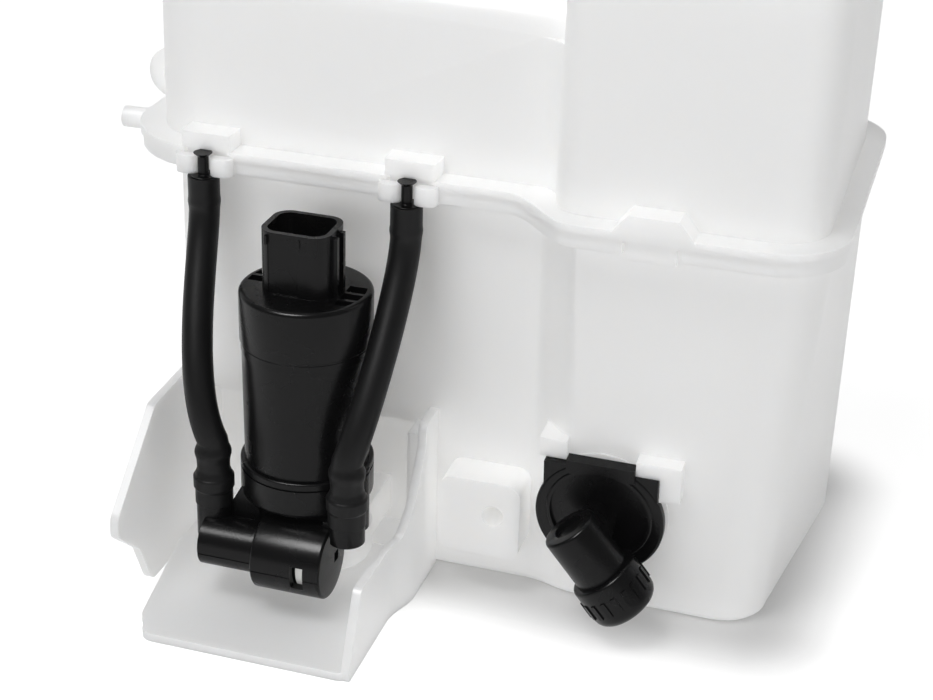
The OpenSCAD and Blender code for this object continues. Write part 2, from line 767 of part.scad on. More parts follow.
module slot_shape() {
    for (i = [0:slots - 1])
        rotate(i * 360 / slots) {
            translate([slot_at, 0]) circle(slot_r);
            translate([slot_at, -0.8]) square([core_r, 1.6]);
        }
}

module armature_core() {
    color(steel) at_pump() translate([0, 0, core_z0]) linear_extrude(core_z1 - core_z0) difference() {
        circle(core_r);
        circle(shaft_r + snug);
        slot_shape();
    }
}

module armature_windings() {
    h = core_z1 - core_z0;
    color(copper) at_pump() translate([0, 0, core_z0]) {
        for (i = [0:slots - 1])
            rotate([0, 0, i * 360 / slots]) translate([slot_at, 0, -1.8])
                cylinder(r = slot_r - 0.1, h = h + 3.6);
        for (z = [-1.9, h + 0.1])
            translate([0, 0, z]) tube(core_r * 0.85, core_r * 0.45, 1.8);
    }
}

comm_r = 4.2;
comm_z0 = core_z1 + 3;
comm_z1 = can_z1 - 3;
module commutator() {
    color(copper) at_pump() difference() {
        translate([0, 0, comm_z0]) tube(comm_r, shaft_r + snug, comm_z1 - comm_z0);
        for (i = [0:slots - 1])
            rotate([0, 0, i * 360 / slots + 36]) translate([shaft_r + 1, -0.25, comm_z0 - over])
                cube([comm_r, 0.5, comm_z1 - comm_z0 + 2 * over]);
    }
}

blades = 6;
hub_r = shaft_r + 1.8;
module impeller() {
    r = impeller_d / 2;
    color(milky) at_pump() translate([0, 0, chamber_z0 + 1]) difference() {
        union() {
            translate([0, 0, 4]) cylinder(r = r, h = 1.4);
            cylinder(r = hub_r, h = 5.4);
            for (i = [0:blades - 1])
                rotate([0, 0, i * 360 / blades]) translate([hub_r - 0.9, -0.6, 0.6]) rotate([0, 0, 12])
                    cube([r - hub_r - 0.6, 1.2, 4]);
        }
        translate([0, 0, -over]) cylinder(r = shaft_r + snug, h = 10);
    }
}

// Shaft seal, bushes, can and magnets
seal_r = 5;
module shaft_seal() {
    color(rubber) at_pump() translate([0, 0, chamber_z1 + 0.3]) difference() {
        cylinder(r = seal_r, h = bulk_z - chamber_z1 - 0.3);
        translate([0, 0, -over]) cylinder(r = shaft_r + run, h = 6);
    }
}

bush_r = 3.4;
bush_len = 4.5;
module lower_bush() {
    color(brass) at_pump() translate([0, 0, can_z0]) tube(bush_r, shaft_r + run, bush_len);
}

module upper_bush() {
    color(brass) at_pump() translate([0, 0, can_z1 - 1.5]) tube(bush_r, shaft_r + run, bush_len);
}

module motor_can() {
    color(steel) at_pump() difference() {
        translate([0, 0, can_z0]) cylinder(r = can_r, h = can_z1 - can_z0);
        translate([0, 0, can_z0 + can_t]) cylinder(r = can_r - can_t, h = can_z1 - can_z0);
        translate([0, 0, can_z0 - over]) cylinder(r = bush_r + snug, h = bush_len);
    }
}

module field_magnets() {
    color([0.25, 0.25, 0.27]) at_pump() translate([0, 0, core_z0 - 2]) difference() {
        tube(can_r - can_t - snug, can_r - can_t - magnet_t, core_z1 - core_z0 + 4);
        for (a = [0, 90])
            rotate([0, 0, a]) box(-5, 5, -can_r, can_r, -over, core_z1 - core_z0 + 5);
    }
}

// Brush gear
holder_t = 2;
brush_w = 3;
brush_end = comm_r + 5.8;
guide_x = comm_r + 3.8;
module brush_holder() {
    color(milky) at_pump() difference() {
        union() {
            translate([0, 0, can_z1]) cylinder(r = can_r, h = holder_t);
            translate([0, 0, can_z1 - 0.5]) cylinder(r = can_r - can_t - snug, h = 1);
            for (s = [-1, 1])
                box(s * guide_x - 2, s * guide_x + 2, -brush_w / 2 - 1.1, brush_w / 2 + 1.1,
                    comm_z0 + 0.5, can_z1);
        }
        translate([0, 0, can_z1 - 2]) cylinder(r = bush_r + snug, h = 10);
        for (s = [-1, 1])
            box(s * guide_x - 4, s * guide_x + 4, -brush_w / 2 - snug, brush_w / 2 + snug,
                comm_z0 + 1 - snug, comm_z0 + 4 + snug);
        for (s = [-1, 1])
            box(s * blade_x - 1.6, s * blade_x + 1.6, -0.6, 0.6, can_z1 - over, can_z1 + holder_t + over);
    }
}

module brushes() {
    color([0.2, 0.2, 0.2]) at_pump() difference() {
        for (s = [0, 180])
            rotate([0, 0, s]) box(comm_r - over, brush_end, -brush_w / 2, brush_w / 2,
                comm_z0 + 1, comm_z0 + 4);
        translate([0, 0, comm_z0 - over]) cylinder(r = comm_r + run, h = 10);
    }
}

module brush_springs() {
    color(steel) at_pump() for (s = [0, 180])
        rotate([0, 0, s]) box(brush_end, brush_end + 0.6, -1.2, 1.2, comm_z0 + 1.2, can_z1 - 0.5);
}

// Blades of the pump's connector, from the brush holder up into the socket
blade_x = 5;
blade_w = 2.8;
socket_floor = cap_top + 3;
module pump_terminals() {
    color(brass) at_pump() for (s = [-1, 1])
        box(s * blade_x - blade_w / 2, s * blade_x + blade_w / 2, -0.4, 0.4,
            can_z1 + 0.4, cap_top + socket_h - 5);
}

// Motor housing: a tapered sleeve with a rim at each end
module pump_housing() {
    color(black) at_pump() difference() {
        union() {
            translate([0, 0, house_z]) cylinder(r1 = housing_r0, r2 = housing_r1, h = housing_h);
            translate([0, 0, cap_z - 3]) cylinder(r = housing_r1 + 0.15, h = 2.4);
        }
        translate([0, 0, house_z - over]) cylinder(r = shell_r, h = housing_h + 2 * over);
    }
}

// Cap with a raised rim, pockets on both sides and the connector socket
rim_w = 1.8;
socket_wall = 1.6;
socket_x = -1;
right_pockets = [[-8.6, -5.4], [-4.2, -0.6], [0.6, 4.6]];
left_pockets = [[-1.5, 2], [3.2, 7]];
// Panel on the socket's front and the height of its two ticks
panel = [-7, 2.1];
tick_h = 2.6;
module cap_pockets(xa, xb, floor_z) {
    intersection() {
        translate([0, 0, floor_z]) cylinder(r = cap_r - rim_w, h = 6);
        for (y = xa > 0 ? right_pockets : left_pockets)
            box(xa, xb, y[0], y[1], floor_z - over, cap_top + 6);
    }
}

module pump_cap() {
    floor_z = cap_top - 1.4;
    a = socket_len / 2;
    b = socket_w / 2;
    top = cap_top + socket_h;
    color(black) at_pump() difference() {
        union() {
            translate([0, 0, cap_z]) rotate_extrude() polygon(turned(0, cap_r, 0, cap_h + 1.2, 0.3, 1.4));
            translate([socket_x, 0, 0]) {
                block(-a, a, -b, b, floor_z, top, 5);
                for (y = [-3.6, 1.4])
                    box(a - 1, a + 1.3, y, y + 1.6, floor_z, top - 1.4);
                for (x = panel)
                    box(x - 0.7, x + 0.5, -b - 0.4, -b + over, top - 1 - tick_h, top - 1);
                box(-a - 1, -a + 1, -1.6, 0, floor_z, top - 1.6);
                box(-a + 0.6, -a + 2.2, b - 3, b + 0.6, floor_z, top - 1.2);
            }
        }
        translate([0, 0, cap_z - over]) cylinder(r = shell_r, h = cap_h - 3 + over);
        cap_pockets(socket_x + a + 2.2, 30, floor_z);
        cap_pockets(-30, socket_x - a - 1.6, floor_z);
        translate([socket_x, 0, 0]) {
            block(-a + socket_wall, a - socket_wall, -b + socket_wall, b - socket_wall,
                socket_floor, top + over, 3.6);
            box(panel[0], panel[1], -b - over, -b + 0.6, cap_top + 1.4, top - 1);
        }
        for (s = [-1, 1])
            box(s * blade_x - blade_w / 2 - snug, s * blade_x + blade_w / 2 + snug, -0.4 - snug, 0.4 + snug,
                cap_z, socket_floor + over);
    }
}

// Valve cover pushed over the base's spigot, with a window and an end notch
window_x = cover_x0 + 12.4;
module valve_cover() {
    color(black) at_pump() difference() {
        along_valve(cover_x0) rotate_extrude() polygon(turned(0, cover_r, 0, cover_x1 - cover_x0, 0.8, 0.8));
        along_valve(cover_x0 - over) cylinder(r = cover_bore_r, h = cover_x1 - cover_x0 - 2.2 + over);
        box(window_x, window_x + 3.9, valve_y - cover_r - over, valve_y, valve_z - 4.8, valve_z + 2.6);
        box(cover_x1 - 2, cover_x1 + over, valve_y + 2, valve_y + 5, valve_z - 1.6, valve_z + 1.6);
        box(cover_x0 - over, cover_x1 + over, valve_y - cover_r - over, valve_y - cover_r + 0.35,
            valve_z - 1.4, valve_z - 1);
    }
}

// Shuttle that the flow pushes to one side or the other, with its sealing ring
drum_x0 = window_x + 0.9;
seal_w = 1.2;
drum_x1 = cover_x1 - 2.2 - shuttle_travel - free;
module valve_shuttle() {
    color([0.95, 0.95, 0.93]) at_pump() difference() {
        union() {
            along_valve(drum_x0) cylinder(r = cover_bore_r - run, h = drum_x1 - drum_x0);
            along_valve(valve_x0 + 8) cylinder(r = stem_r, h = drum_x1 - valve_x0 - 8);
        }
        along_valve(drum_x1 - seal_w) tube(cover_bore_r + over, cover_bore_r - 1.4, seal_w + over);
    }
}

module valve_seal() {
    color(rubber) at_pump() along_valve(drum_x1 - seal_w + snug)
        tube(cover_bore_r - 0.1, cover_bore_r - 1.35, seal_w - 2 * snug);
}

// Hoses, swept from the clip on the flange down to the pump's outlet
hose_sides = 14;
hose_top_z = flange_z0 - 0.4;
hose_straight = 8.5;
function bezier(p, t) =
    pow(1 - t, 3) * p[0] + 3 * t * pow(1 - t, 2) * p[1] + 3 * t * t * (1 - t) * p[2] + pow(t, 3) * p[3];
function route(p, bend_top, bend_low, clip_x) =
    let (top = [clip_x, flange_y - 1.9, hose_top_z],
         bend = top - [0, 0, hose_straight],
         low = [pump_x + p[0], pump_y + p[1], p[2]],
         ends = [bend, bend - [0, 0, bend_top], low + [0, 0, spigot_h] + bend_low, low + [0, 0, spigot_h]])
    concat([top, top - [0, 0, hose_straight / 2]],
           [for (i = [0:15]) bezier(ends, i / 15)],
           [for (h = [17.7, 15.5, 13.4, 11, 8.6, 7, 5.4, 4, 2, 0.2]) low + [0, 0, h]]);

// The hose is stretched over the spigot and swells over the barbs, at these heights above its lower end
function rise(h, h0, h1) = ease(max(0, min(1, (h - h0) / (h1 - h0))));
function swell(h) =
    stretch * (1 - rise(h, barb_h[1], spigot_h + 1))
    + (abs(h - barb_h[0]) < 1.7 ? barb_out[0] * (1 - pow(abs(h - barb_h[0]) / 3.4, 2)) : 0)
    + (abs(h - barb_h[1]) < 2.6 ? barb_out[1] * (1 - pow(abs(h - barb_h[1]) / 3.4, 2)) : 0);

function sweep_ring(c, t, r) =
    let (side = unit(cross(t, [0, 1, 0])), front = cross(side, t))
    [for (k = [0:hose_sides - 1]) let (a = 360 * k / hose_sides) c + r * (cos(a) * side + sin(a) * front)];
function ends_cap(m, a0, b0, out) =
    [for (k = [0:m - 1]) let (j = (k + 1) % m)
        out ? [a0 + j, a0 + k, b0 + k, b0 + j] : [a0 + k, a0 + j, b0 + j, b0 + k]];

module hose(points) {
    n = len(points);
    foot = points[n - 1][2] - 0.2;
    m = hose_sides;
    grow = 1 / cos(180 / m);
    tangents = [for (i = [0:n - 1]) unit(points[min(i + 1, n - 1)] - points[max(i - 1, 0)])];
    outer = [for (i = [0:n - 1])
        each sweep_ring(points[i], tangents[i], (hose_d / 2 + swell(points[i][2] - foot)) * grow)];
    inner = [for (i = [0:n - 1])
        each sweep_ring(points[i], tangents[i], (bore_r + swell(points[i][2] - foot)) * grow)];
    last = (n - 1) * m;
    polyhedron(concat(outer, inner), concat(
        skin(n, m, 0, true), skin(n, m, n * m, false),
        ends_cap(m, 0, n * m, true), ends_cap(m, last, n * m + last, false)));
}

// Handles of the two hose curves, from the clip and from the outlet
left_bend_top = 12.7;
left_bend_low = [-7.3, -3.2, 19.1];
right_bend_top = 13.3;
right_bend_low = [5.3, 2.1, 16.7];
module hose_left() {
    color(rubber) hose(route(outlet_left, left_bend_top, left_bend_low, clip_left_x));
}

module hose_right() {
    color(rubber) hose(route(outlet_right, right_bend_top, right_bend_low, clip_right_x));
}

// Plug that closes a hose's upper end and hangs it in a clip
module hose_plug(x) {
    neck = slot_w / 2 - 0.3;
    color(black) translate([x, flange_y - 1.9, 0]) {
        translate([0, 0, hose_top_z - 7.5]) cylinder(r = bore_r - snug, h = 7.5);
        translate([0, 0, hose_top_z]) cylinder(r = hose_d / 2 - 0.6, h = flange_z0 - hose_top_z - 0.05);
        translate([0, 0, hose_top_z]) cylinder(r = neck, h = lip_top + 0.3 - hose_top_z);
        translate([0, 0, lip_top + 0.1]) cylinder(r1 = neck, r2 = neck + 1.2, h = 1.1);
    }
}

module hose_plug_left() {
    hose_plug(clip_left_x);
}

module hose_plug_right() {
    hose_plug(clip_right_x);
}

// Level sensor: plate and dish on the wall, spigot in the seal, and a barrel turned down to the right
sensor_plate_w = 33.4;
sensor_plate_h = 16.8;
sensor_gap = 0.3;
sensor_spigot_r = 6.4;
dish_r = 15.8;
dish_y = 1.6;
dish_h = 1.7;
elbow_w = 15.8;
post_r = 5.4;
elbow_turn = 37;
elbow_off = 2.4;
elbow_back = 7;
elbow_fore = 13;
end_cap_len = 14;
module along_elbow(s) {
    rotate([0, 0, elbow_turn - 90]) translate([s, -elbow_off, elbow_w]) rotate([0, 90, 0]) children();
}

module sensor_body() {
    r = sensor_d / 2;
    color(black) at_sensor() difference() {
        union() {
            translate([0, 0, sensor_gap + 1.2]) rotate_extrude() polygon(turned(0, r, 0, 3, 0.3, 0.9));
            box(-sensor_plate_w / 2, sensor_plate_w / 2, 0, sensor_plate_h,
                sensor_gap + 1.2, sensor_gap + 3.8);
            box(-10, 10, sensor_plate_h - 2, sensor_plate_h + 2.4, sensor_gap + 1.2, sensor_gap + 5);
            translate([0, dish_y, sensor_gap + 3]) rotate_extrude()
                polygon(turned(0, dish_r, 0, dish_h, 0.2, 0.7));
            translate([0, 0, 3]) cylinder(r = post_r, h = elbow_w - 3);
            translate([0, 0, -stem_len]) cylinder(r = sensor_spigot_r, h = stem_len + 2);
            along_elbow(-elbow_back) rotate_extrude()
                polygon(turned(0, elbow_d / 2, 0, elbow_back + elbow_fore, 1, 0.3));
            for (s = [-1, 1])
                box(s * 4.6 - 1.2, s * 4.6 + 1.2, -4, 4, -stem_len - ear_len, -stem_len + 1);
        }
        translate([0, dish_y, sensor_gap + dish_h + 1.8]) difference() {
            cylinder(r = dish_r - 1.3, h = 4);
            translate([0, -dish_y, -over]) cylinder(r = post_r, h = 6);
        }
        along_elbow(-elbow_back - over) cylinder(r = 4.6, h = over + 1.2);
        along_elbow(elbow_fore - 9) cylinder(r = elbow_d / 2 - 1.8, h = 12);
        translate([-10, 0, -stem_len - ear_len + 4]) rotate([0, 90, 0]) cylinder(r = pivot_r + run, h = 20);
        translate([0, 0, -stem_len + 2]) cylinder(r = reed_r + snug, h = stem_len - 3);
        translate([0, 0, -1]) cylinder(r = 1.7, h = elbow_w);
        along_elbow(elbow_fore - 10) translate([0, 0, -6]) box(-2.4, 2.4, -0.5, 0.5, 0, 12);
    }
}

// Seal in the wall's hole
module sensor_seal() {
    color(rubber) at_sensor() difference() {
        union() {
            translate([0, 0, -wall - 1.8]) cylinder(r = sensor_hole_r - 0.3, h = wall + 2);
            translate([0, 0, 0.05]) cylinder(r = sensor_hole_r + 3, h = sensor_gap + 1.1);
        }
        translate([0, 0, -10]) cylinder(r = sensor_spigot_r + snug, h = 20);
    }
}

// Ribbed end cap on the connector barrel
module sensor_cap() {
    r = end_cap_d / 2;
    color(black) at_sensor() along_elbow(elbow_fore - 3) difference() {
        union() {
            rotate_extrude() polygon(turned(0, r, 0, end_cap_len, 1, 3.4));
            for (a = [0:20:359])
                rotate([0, 0, a]) translate([r - 0.3, -0.7, 4.4]) cube([0.7, 1.4, 5]);
        }
        translate([0, 0, -over]) cylinder(r = elbow_d / 2 + snug, h = 3 + over);
        translate([0, 0, 2]) cylinder(r = elbow_d / 2 - 2, h = end_cap_len - 4);
    }
}

module sensor_terminals() {
    color(brass) at_sensor() along_elbow(elbow_fore - 15) difference() {
        box(-2.2, 2.2, -0.4, 0.4, 0, 14);
        box(-0.6, 0.6, -over, over, 7, 15);
    }
}

// Switch in the stem, and the float that swings below it inside the tank
stem_len = 14;
ear_len = 8;
pivot_r = 1.5;
reed_r = 2.2;
module reed_switch() {
    color([0.75, 0.85, 0.8]) at_sensor() translate([0, 0, -stem_len + 2.2])
        cylinder(r = reed_r, h = stem_len - 4);
}

float_r = 8;
float_w = 18;
float_drop = -60;
module at_float() {
    at_sensor() translate([0, 0, -stem_len - ear_len + 4]) rotate([float_drop, 0, 0]) children();
}

module float_arm() {
    color(milky) at_float() difference() {
        union() {
            rotate([0, 90, 0]) translate([0, 0, -3]) cylinder(r = 2.8, h = 6);
            rotate([0, 90, 0]) translate([0, 0, -6]) cylinder(r = pivot_r, h = 12);
            box(-2.6, 2.6, -1.6, 1.6, -float_arm_len, 0);
            translate([-float_w / 2, 0, -float_arm_len]) rotate([0, 90, 0])
                cylinder(r = float_r, h = float_w);
        }
        translate([0, 0, -float_arm_len - 2]) cylinder(r = magnet_r + snug, h = 4);
        box(-20, 20, -20, 20, -float_arm_len - float_r - over, -float_arm_len - float_r + 1);
    }
}

magnet_r = 3;
module float_magnet() {
    color(steel) at_float() translate([0, 0, -float_arm_len - 1.9]) cylinder(r = magnet_r, h = 3.8);
}

lower_shell();
upper_shell();
filler_collar();
filler_cap();
cap_seal();
pump_base();
inlet_grommet();
inlet_strainer();
impeller();
shaft_seal();
pump_housing();
motor_can();
field_magnets();
motor_shaft();
armature_core();
armature_windings();
commutator();
lower_bush();
upper_bush();
brush_holder();
brushes();
brush_springs();
pump_terminals();
pump_cap();
valve_cover();
valve_shuttle();
valve_seal();
hose_left();
hose_right();
hose_plug_left();
hose_plug_right();
sensor_body();
sensor_seal();
sensor_cap();
sensor_terminals();
reed_switch();
float_arm();
float_magnet();
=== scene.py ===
import math

import bpy
from mathutils import Matrix, Vector


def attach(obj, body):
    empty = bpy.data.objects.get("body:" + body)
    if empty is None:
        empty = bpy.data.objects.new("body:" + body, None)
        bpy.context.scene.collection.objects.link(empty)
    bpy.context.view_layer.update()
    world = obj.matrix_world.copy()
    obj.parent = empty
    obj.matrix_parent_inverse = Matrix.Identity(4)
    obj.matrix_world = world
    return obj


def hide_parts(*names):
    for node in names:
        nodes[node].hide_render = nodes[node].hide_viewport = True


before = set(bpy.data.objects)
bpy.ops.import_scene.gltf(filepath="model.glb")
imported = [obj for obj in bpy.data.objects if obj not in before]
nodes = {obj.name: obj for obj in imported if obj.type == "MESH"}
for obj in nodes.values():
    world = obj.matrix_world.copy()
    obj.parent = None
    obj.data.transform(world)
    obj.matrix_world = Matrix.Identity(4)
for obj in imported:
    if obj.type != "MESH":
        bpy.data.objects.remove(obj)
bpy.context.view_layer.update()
MM = 0.001

# Camera
# A long lens looks down at the front of the tank from a little to the right of the pump.
# It stands a little turned round its own axis, as the photograph does.
eye = Vector((136.43, -521.35, 318.24)) * MM
climb, swing, roll = (math.radians(a) for a in (26.1, 16.3, 1.96))
back = Vector((math.sin(swing) * math.cos(climb), -math.cos(swing) * math.cos(climb), math.sin(climb)))
level = Vector((math.cos(swing), math.sin(swing), 0))
upright = back.cross(level)
right = level * math.cos(roll) + upright * math.sin(roll)
up = upright * math.cos(roll) - level * math.sin(roll)
camera = bpy.data.objects.new("camera", bpy.data.cameras.new("camera"))
camera.data.lens = 73.85
camera.data.sensor_width = 36
camera.data.clip_start = 0.01
camera.matrix_world = Matrix((
    (right.x, up.x, back.x, eye.x),
    (right.y, up.y, back.y, eye.y),
    (right.z, up.z, back.z, eye.z),
    (0, 0, 0, 1)))
bpy.context.scene.collection.objects.link(camera)
bpy.context.scene.camera = camera

# Tank shells
# Two moulded halves of milky polypropylene, welded together on a broad flange.
# The walls are a few millimetres thick and let some light through, and their edges are rounded.
lower_shell_edge = 0.9 * MM
upper_shell_edge = 0.6 * MM
light_depth = 6 * MM
grain_depth = 0.2 * MM
weld_reach = 0.001 * MM
crease = math.radians(32)
flatness = math.radians(0.5)


def add(tree, kind, **settings):
    """New node. A setting is a property, a socket's value or the output that feeds that socket."""
    node = tree.nodes.new(kind)
    for key, value in settings.items():
        if hasattr(node, key):
            setattr(node, key, value)
            continue
        socket = node.inputs[key.replace("_", " ")]
        if isinstance(value, bpy.types.NodeSocket):
            tree.links.new(value, socket)
        else:
            socket.default_value = value
    return node


def worked_out(tree, kind, operation, *values, out=0):
    """Output of a maths node. Each value is a number, a vector or the output that feeds its socket."""
    node = add(tree, kind, operation=operation)
    for socket, value in zip(node.inputs, values):
        if isinstance(value, bpy.types.NodeSocket):
            tree.links.new(value, socket)
        else:
            socket.default_value = value
    return node.outputs[out]


def moulded_skin():
    """Clouded colour, uneven gloss and fine grain of moulded plastic or rubber."""
    group = bpy.data.node_groups.new("moulded skin", "ShaderNodeTree")
    for title, kind in (("Colour", "Color"), ("Cloud Colour", "Color"), ("Cloud Size", "Float"),
                        ("Roughness", "Float"), ("Gloss Spread", "Float"), ("Grain Size", "Float")):
        group.interface.new_socket(title, in_out="INPUT", socket_type="NodeSocket" + kind)
    for title, kind in (("Colour", "Color"), ("Roughness", "Float"), ("Height", "Float")):
        group.interface.new_socket(title, in_out="OUTPUT", socket_type="NodeSocket" + kind)
    given = add(group, "NodeGroupInput").outputs
    place = add(group, "ShaderNodeTexCoord").outputs["Object"]
    cloud = add(group, "ShaderNodeTexNoise", Vector=place, Scale=given["Cloud Size"],
                Detail=3.0, Roughness=0.55).outputs["Fac"]
    grain = add(group, "ShaderNodeTexNoise", Vector=place, Scale=given["Grain Size"],
                Detail=2.0, Roughness=0.5).outputs["Fac"]
    blend = add(group, "ShaderNodeMix", data_type="RGBA", Factor=cloud,
                A=given["Colour"], B=given["Cloud Colour"]).outputs["Result"]
    middle = 0.5
    uneven = worked_out(group, "ShaderNodeMath", "SUBTRACT", cloud, middle)
    gloss = worked_out(group, "ShaderNodeMath", "MULTIPLY_ADD",
                       uneven, given["Gloss Spread"], given["Roughness"])
    add(group, "NodeGroupOutput", Colour=blend, Roughness=gloss, Height=grain)
    return group


skin_group = moulded_skin()


def moulded(name, colour, cloud_colour, cloud_size, roughness, spread, grain_size, grain,
            metal=0.0, specular=0.5):
    """Material of one finish, with its own values in the shared skin."""
    made = bpy.data.materials.new(name)
    made.use_nodes = True
    tree = made.node_tree
    skin = add(tree, "ShaderNodeGroup", node_tree=skin_group, Colour=(*colour, 1),
               Cloud_Colour=(*cloud_colour, 1), Cloud_Size=cloud_size, Roughness=roughness,
               Gloss_Spread=spread, Grain_Size=grain_size).outputs
    bump = add(tree, "ShaderNodeBump", Height=skin["Height"], Strength=grain, Distance=grain_depth)
    shader = tree.nodes["Principled BSDF"].inputs
    tree.links.new(skin["Colour"], shader["Base Color"])
    tree.links.new(skin["Roughness"], shader["Roughness"])
    tree.links.new(bump.outputs["Normal"], shader["Normal"])
    shader["Metallic"].default_value = metal
    shader["Specular IOR Level"].default_value = specular
    return made


def soft_faces():
    """Geometry group that joins a node's faces and shades them smooth up to the crease angle."""
    group = bpy.data.node_groups.new("soft faces", "GeometryNodeTree")
    for way in ("INPUT", "OUTPUT"):
        group.interface.new_socket("Geometry", in_out=way, socket_type="NodeSocketGeometry")
    given = add(group, "NodeGroupInput").outputs["Geometry"]
    weld = add(group, "GeometryNodeMergeByDistance", Geometry=given, Distance=weld_reach)
    angle = add(group, "GeometryNodeInputMeshEdgeAngle").outputs["Unsigned Angle"]
    sharp = add(group, "FunctionNodeCompare", operation="GREATER_THAN", A=angle, B=crease)
    shade = add(group, "GeometryNodeSetMeshNormal", mode="SHARPNESS", Mesh=weld.outputs["Geometry"],
                Remove_Custom=True, Edge_Sharpness=sharp.outputs["Result"])
    add(group, "NodeGroupOutput", Geometry=shade.outputs["Mesh"])
    return group


face_group = soft_faces()


def round_edges(piece, width, angle):
    rounding = piece.modifiers.new("rounding", "BEVEL")
    rounding.width = width
    rounding.segments = 2
    rounding.limit_method = "ANGLE"
    rounding.angle_limit = angle
    rounding.harden_normals = True


def finish_node(name, material, edge=0.0):
    """Gives a CAD node its material, smooth faces and, where edge is given, rounded edges."""
    piece = nodes[name]
    piece.data.materials.clear()
    piece.data.materials.append(material)
    piece.modifiers.new("soft faces", "NODES").node_group = face_group
    if edge:
        flat = piece.modifiers.new("flat faces", "DECIMATE")
        flat.decimate_type = "DISSOLVE"
        flat.angle_limit = flatness
        round_edges(piece, edge, crease)


milky = moulded("milky polypropylene", (0.96, 0.956, 0.944), (0.975, 0.971, 0.961), cloud_size=14,
                roughness=0.38, spread=0.12, grain_size=1400, grain=0.08)
milky_shader = milky.node_tree.nodes["Principled BSDF"].inputs
milky_shader["Subsurface Weight"].default_value = 1.0
milky_shader["Subsurface Radius"].default_value = (1, 0.97, 0.93)
milky_shader["Subsurface Scale"].default_value = light_depth
finish_node("lower_shell", milky, lower_shell_edge)
finish_node("upper_shell", milky, upper_shell_edge)

# Filler
# Black snap-on collar with hinge ears, the hinged push-on cap and the rubber disc that seals it.
# Collar and cap are moulded in black plastic with a faint grain; the collar snaps over the neck's rim.
filler_edge = 0.4 * MM
black = moulded("black plastic", (0.0032, 0.0032, 0.0034), (0.005, 0.005, 0.0052), cloud_size=60,
                roughness=0.27, spread=0.1, grain_size=1500, grain=0.12, specular=0.16)
seal_black = moulded("seal rubber", (0.014, 0.014, 0.014), (0.02, 0.02, 0.02), cloud_size=60,
                     roughness=0.6, spread=0.1, grain_size=1500, grain=0.3)
for name in ("filler_collar", "filler_cap"):
    finish_node(name, black, filler_edge)
finish_node("cap_seal", seal_black)

# Pump
# Glass-filled black plastic: base with valve body and outlets, sleeve round the motor, cap with socket.
# It stands in a rubber grommet in the tank's sump cup, with a white strainer in the duct behind that.
pump_edge = 0.45 * MM
acetal = moulded("white acetal", (0.8, 0.8, 0.78), (0.84, 0.84, 0.82), cloud_size=50,
                 roughness=0.35, spread=0.1, grain_size=1500, grain=0.1)
for name in ("pump_base", "pump_housing", "pump_cap"):
    finish_node(name, black, pump_edge)
finish_node("inlet_grommet", seal_black)
finish_node("inlet_strainer", acetal)

# Motor inside the pump
# A rotor of steel plates and lacquered copper turns between ferrite magnets in a plated steel can.
# Brass bushes carry its shaft, sprung carbon brushes feed it, and the impeller sits below the shaft seal.
steel = moulded("plated steel", (0.56, 0.56, 0.57), (0.62, 0.62, 0.63), cloud_size=120,
                roughness=0.3, spread=0.2, grain_size=2500, grain=0.1, metal=1.0)
ferrite = moulded("ferrite", (0.05, 0.05, 0.055), (0.07, 0.07, 0.075), cloud_size=120,
                  roughness=0.55, spread=0.2, grain_size=2000, grain=0.4)
copper = moulded("copper", (0.68, 0.33, 0.17), (0.74, 0.4, 0.22), cloud_size=160,
                 roughness=0.32, spread=0.2, grain_size=2500, grain=0.2, metal=1.0)
brass = moulded("brass", (0.72, 0.56, 0.27), (0.78, 0.62, 0.32), cloud_size=160,
                roughness=0.28, spread=0.2, grain_size=2500, grain=0.1, metal=1.0)
carbon = moulded("carbon", (0.03, 0.03, 0.03), (0.05, 0.05, 0.05), cloud_size=200,
                 roughness=0.6, spread=0.1, grain_size=2500, grain=0.4)
for material, names in (
        (steel, ("motor_can", "motor_shaft", "armature_core", "brush_springs")),
        (ferrite, ("field_magnets",)),
        (copper, ("armature_windings", "commutator")),
        (brass, ("lower_bush", "upper_bush", "pump_terminals")),
        (carbon, ("brushes",)),
        (acetal, ("impeller", "brush_holder")),
        (seal_black, ("shaft_seal",))):
    for name in names:
        finish_node(name, material)

# Change-over valve
# White acetal shuttle that slides in the valve body and shows in the window of its black cover.
# The cover is pushed over the body's spigot, and a rubber seal lies behind it.
finish_node("valve_cover", black, pump_edge)
finish_node("valve_shuttle", acetal)
finish_node("valve_seal", seal_black)

# Hoses and plugs
# Two lengths of black rubber hose, pushed over the barbs of the outlets and hung by plugs in the clips.
# The rubber is stretched over the spigot's foot, bulges over the barb and is a little wider round the plug.
# Their sizes are in millimetres.
hose_wall = 1.9
hose_bore_r = 2.6
spigot_bore_r = 3.05
spigot = 20.0
plug_length = 8.5
foot_gap = 0.2
foot_r = 5.5
ring_low, ring_top = 5.0, 9.3
barb_at = 16.6
clip_y, clip_z = -53.6, 121.1
hose_edge = 0.25 * MM
hose_crease = math.radians(60)
plug_edge = 0.2 * MM
rubber = moulded("hose rubber", (0.0048, 0.0048, 0.005), (0.0075, 0.0075, 0.0078), cloud_size=80,
                 roughness=0.42, spread=0.12, grain_size=1600, grain=0.2, specular=0.17)


def ease(value, start, end):
    u = min(1.0, max(0.0, (value - start) / (end - start)))
    return u * u * (3 - 2 * u)


def swell(value, middle, width):
    return math.exp(-((value - middle) / width) ** 2)


